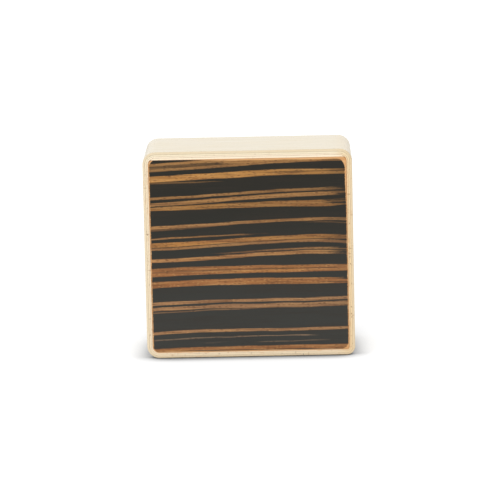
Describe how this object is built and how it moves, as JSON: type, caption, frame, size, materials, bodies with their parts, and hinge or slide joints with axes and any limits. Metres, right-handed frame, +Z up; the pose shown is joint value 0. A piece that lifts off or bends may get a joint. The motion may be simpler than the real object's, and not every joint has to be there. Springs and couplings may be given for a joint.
{
  "type": "wooden shaker",
  "caption": "Square palm-sized wooden shaker with rounded corners: a bent-ply ring closed front and back by striped veneer panels, with loose shot inside that rattles when shaken.",
  "frame": {"origin": "middle of the base, on the surface that the shaker stands on", "axes": "+Z up, +X to the right as seen from the front, the front panel faces -Y"},
  "size_m": [0.08, 0.04, 0.08],
  "materials": {
    "maple": "satin lacquer over pale maple",
    "maple_core": "cross-grain ply, bare inside",
    "striped_ebony": "satin lacquer over dark veneer with brown stripes",
    "poplar_core": "bare plywood core",
    "steel_shot": "tumbled steel shot"
  },
  "bodies": {
    "box": {"shell_outer_ply": "maple", "shell_core_ply": "maple_core", "shell_inner_ply": "maple", "shell_top_strip": "maple", "front_face_veneer": "striped_ebony", "front_core_board": "poplar_core", "front_backing_veneer": "maple_core", "rear_face_veneer": "striped_ebony", "rear_core_board": "poplar_core", "rear_backing_veneer": "maple_core"},
    "grain_01": {"shot_01": "steel_shot"},
    "grain_02": {"shot_02": "steel_shot"},
    "grain_03": {"shot_03": "steel_shot"},
    "grain_04": {"shot_04": "steel_shot"},
    "grain_05": {"shot_05": "steel_shot"},
    "grain_06": {"shot_06": "steel_shot"},
    "grain_07": {"shot_07": "steel_shot"},
    "grain_08": {"shot_08": "steel_shot"},
    "grain_09": {"shot_09": "steel_shot"},
    "grain_10": {"shot_10": "steel_shot"},
    "grain_11": {"shot_11": "steel_shot"},
    "grain_12": {"shot_12": "steel_shot"},
    "grain_13": {"shot_13": "steel_shot"},
    "grain_14": {"shot_14": "steel_shot"},
    "grain_15": {"shot_15": "steel_shot"},
    "grain_16": {"shot_16": "steel_shot"},
    "grain_17": {"shot_17": "steel_shot"},
    "grain_18": {"shot_18": "steel_shot"},
    "grain_19": {"shot_19": "steel_shot"},
    "grain_20": {"shot_20": "steel_shot"},
    "grain_21": {"shot_21": "steel_shot"},
    "grain_22": {"shot_22": "steel_shot"},
    "grain_23": {"shot_23": "steel_shot"},
    "grain_24": {"shot_24": "steel_shot"},
    "grain_25": {"shot_25": "steel_shot"},
    "grain_26": {"shot_26": "steel_shot"},
    "grain_27": {"shot_27": "steel_shot"},
    "grain_28": {"shot_28": "steel_shot"},
    "grain_29": {"shot_29": "steel_shot"},
    "grain_30": {"shot_30": "steel_shot"},
    "grain_31": {"shot_31": "steel_shot"},
    "grain_32": {"shot_32": "steel_shot"},
    "grain_33": {"shot_33": "steel_shot"},
    "grain_34": {"shot_34": "steel_shot"},
    "grain_35": {"shot_35": "steel_shot"},
    "grain_36": {"shot_36": "steel_shot"},
    "grain_37": {"shot_37": "steel_shot"},
    "grain_38": {"shot_38": "steel_shot"},
    "grain_39": {"shot_39": "steel_shot"},
    "grain_40": {"shot_40": "steel_shot"}
  },
  "joints": [
    {"name": "shot_01_toss", "type": "slide", "parent": "box", "child": "grain_01", "axis": [0, 0, 1], "range_m": [0, 0.0705]},
    {"name": "shot_02_toss", "type": "slide", "parent": "box", "child": "grain_02", "axis": [0, 0, 1], "range_m": [0, 0.0705]},
    {"name": "shot_03_toss", "type": "slide", "parent": "box", "child": "grain_03", "axis": [0, 0, 1], "range_m": [0, 0.0705]},
    {"name": "shot_04_toss", "type": "slide", "parent": "box", "child": "grain_04", "axis": [0, 0, 1], "range_m": [0, 0.0705]},
    {"name": "shot_05_toss", "type": "slide", "parent": "box", "child": "grain_05", "axis": [0, 0, 1], "range_m": [0, 0.0705]},
    {"name": "shot_06_toss", "type": "slide", "parent": "box", "child": "grain_06", "axis": [0, 0, 1], "range_m": [0, 0.0705]},
    {"name": "shot_07_toss", "type": "slide", "parent": "box", "child": "grain_07", "axis": [0, 0, 1], "range_m": [0, 0.0705]},
    {"name": "shot_08_toss", "type": "slide", "parent": "box", "child": "grain_08", "axis": [0, 0, 1], "range_m": [0, 0.0705]},
    {"name": "shot_09_toss", "type": "slide", "parent": "box", "child": "grain_09", "axis": [0, 0, 1], "range_m": [0, 0.0705]},
    {"name": "shot_10_toss", "type": "slide", "parent": "box", "child": "grain_10", "axis": [0, 0, 1], "range_m": [0, 0.0705]},
    {"name": "shot_11_toss", "type": "slide", "parent": "box", "child": "grain_11", "axis": [0, 0, 1], "range_m": [0, 0.0705]},
    {"name": "shot_12_toss", "type": "slide", "parent": "box", "child": "grain_12", "axis": [0, 0, 1], "range_m": [0, 0.0705]},
    {"name": "shot_13_toss", "type": "slide", "parent": "box", "child": "grain_13", "axis": [0, 0, 1], "range_m": [0, 0.0705]},
    {"name": "shot_14_toss", "type": "slide", "parent": "box", "child": "grain_14", "axis": [0, 0, 1], "range_m": [0, 0.0705]},
    {"name": "shot_15_toss", "type": "slide", "parent": "box", "child": "grain_15", "axis": [0, 0, 1], "range_m": [0, 0.0705]},
    {"name": "shot_16_toss", "type": "slide", "parent": "box", "child": "grain_16", "axis": [0, 0, 1], "range_m": [0, 0.0705]},
    {"name": "shot_17_toss", "type": "slide", "parent": "box", "child": "grain_17", "axis": [0, 0, 1], "range_m": [0, 0.0705]},
    {"name": "shot_18_toss", "type": "slide", "parent": "box", "child": "grain_18", "axis": [0, 0, 1], "range_m": [0, 0.0705]},
    {"name": "shot_19_toss", "type": "slide", "parent": "box", "child": "grain_19", "axis": [0, 0, 1], "range_m": [0, 0.0705]},
    {"name": "shot_20_toss", "type": "slide", "parent": "box", "child": "grain_20", "axis": [0, 0, 1], "range_m": [0, 0.0705]},
    {"name": "shot_21_toss", "type": "slide", "parent": "box", "child": "grain_21", "axis": [0, 0, 1], "range_m": [0, 0.0705]},
    {"name": "shot_22_toss", "type": "slide", "parent": "box", "child": "grain_22", "axis": [0, 0, 1], "range_m": [0, 0.0705]},
    {"name": "shot_23_toss", "type": "slide", "parent": "box", "child": "grain_23", "axis": [0, 0, 1], "range_m": [0, 0.0705]},
    {"name": "shot_24_toss", "type": "slide", "parent": "box", "child": "grain_24", "axis": [0, 0, 1], "range_m": [0, 0.0705]},
    {"name": "shot_25_toss", "type": "slide", "parent": "box", "child": "grain_25", "axis": [0, 0, 1], "range_m": [0, 0.0705]},
    {"name": "shot_26_toss", "type": "slide", "parent": "box", "child": "grain_26", "axis": [0, 0, 1], "range_m": [0, 0.0705]},
    {"name": "shot_27_toss", "type": "slide", "parent": "box", "child": "grain_27", "axis": [0, 0, 1], "range_m": [0, 0.0705]},
    {"name": "shot_28_toss", "type": "slide", "parent": "box", "child": "grain_28", "axis": [0, 0, 1], "range_m": [0, 0.0705]},
    {"name": "shot_29_toss", "type": "slide", "parent": "box", "child": "grain_29", "axis": [0, 0, 1], "range_m": [0, 0.0705]},
    {"name": "shot_30_toss", "type": "slide", "parent": "box", "child": "grain_30", "axis": [0, 0, 1], "range_m": [0, 0.0705]},
    {"name": "shot_31_toss", "type": "slide", "parent": "box", "child": "grain_31", "axis": [0, 0, 1], "range_m": [0, 0.0705]},
    {"name": "shot_32_toss", "type": "slide", "parent": "box", "child": "grain_32", "axis": [0, 0, 1], "range_m": [0, 0.0705]},
    {"name": "shot_33_toss", "type": "slide", "parent": "box", "child": "grain_33", "axis": [0, 0, 1], "range_m": [0, 0.0705]},
    {"name": "shot_34_toss", "type": "slide", "parent": "box", "child": "grain_34", "axis": [0, 0, 1], "range_m": [0, 0.0705]},
    {"name": "shot_35_toss", "type": "slide", "parent": "box", "child": "grain_35", "axis": [0, 0, 1], "range_m": [0, 0.0705]},
    {"name": "shot_36_toss", "type": "slide", "parent": "box", "child": "grain_36", "axis": [0, 0, 1], "range_m": [0, 0.0705]},
    {"name": "shot_37_toss", "type": "slide", "parent": "box", "child": "grain_37", "axis": [0, 0, 1], "range_m": [0, 0.0705]},
    {"name": "shot_38_toss", "type": "slide", "parent": "box", "child": "grain_38", "axis": [0, 0, 1], "range_m": [0, 0.0705]},
    {"name": "shot_39_toss", "type": "slide", "parent": "box", "child": "grain_39", "axis": [0, 0, 1], "range_m": [0, 0.0705]},
    {"name": "shot_40_toss", "type": "slide", "parent": "box", "child": "grain_40", "axis": [0, 0, 1], "range_m": [0, 0.0705]}
  ]
}
